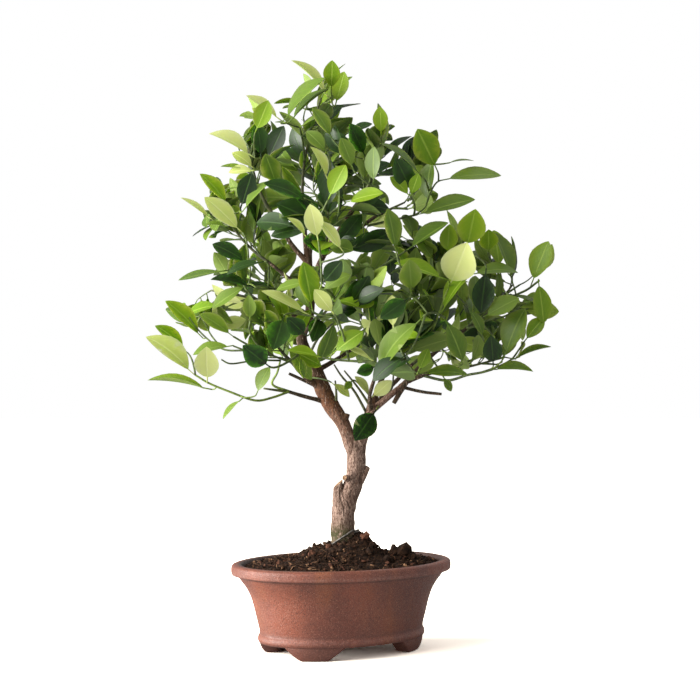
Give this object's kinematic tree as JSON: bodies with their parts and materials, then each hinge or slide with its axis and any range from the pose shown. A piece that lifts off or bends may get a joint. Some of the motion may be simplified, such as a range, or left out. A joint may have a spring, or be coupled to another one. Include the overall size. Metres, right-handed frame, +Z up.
{
  "type": "calamondin bonsai",
  "caption": "Small evergreen citrus trained as a bonsai: forked trunk, open crown of oval green leaves, in an oval reddish brown stoneware pot on cloud feet.",
  "frame": {"origin": "on the standing plane, under the middle of the whole tree's bounding box, 14 mm right of and 8 mm behind the pot's middle", "axes": "+Z up, +X to the right and +Y to the back as the tree is seen from its front"},
  "size_m": [0.4064, 0.2997, 0.5919],
  "materials": {
    "stoneware": "unglazed, fired reddish brown, matt with a faint sheen",
    "bark_mix": "dark crumbs and shreds of bark",
    "wire": "dull grey wire",
    "bark": "pale grey brown, finely fissured",
    "leaf": "leathery, glossy dark green above, pale yellow green below"
  },
  "bodies": {
    "root": {"pot": "stoneware", "soil": "bark_mix", "tie_wire": "wire", "trunk": "bark", "leader": "bark", "right_bough": "bark", "low_left_bough": "bark", "left_lower_bough": "bark", "left_bough": "bark", "upper_left_bough": "bark", "top_left_bough": "bark", "top_bough": "bark", "top_right_bough": "bark", "upper_right_bough": "bark", "back_left_bough": "bark", "back_top_bough": "bark", "back_right_bough": "bark", "front_up_bough": "bark", "front_mid_bough": "bark", "low_bough": "bark", "low_right_bough": "bark", "right_far_bough": "bark", "right_mid_bough": "bark", "right_front_bough": "bark", "back_far_right_bough": "bark", "pruned_twig_right": "bark", "pruned_twig_left": "bark", "low_left_leaves": "leaf", "left_lower_leaves": "leaf", "left_leaves": "leaf", "upper_left_leaves": "leaf", "top_left_leaves": "leaf", "top_leaves": "leaf", "top_right_leaves": "leaf", "upper_right_leaves": "leaf", "right_mid_leaves": "leaf", "right_far_leaves": "leaf", "low_right_leaves": "leaf", "right_front_leaves": "leaf", "front_mid_leaves": "leaf", "front_up_leaves": "leaf", "back_left_leaves": "leaf", "back_top_leaves": "leaf", "back_right_leaves": "leaf", "back_far_right_leaves": "leaf"}
  },
  "joints": []
}
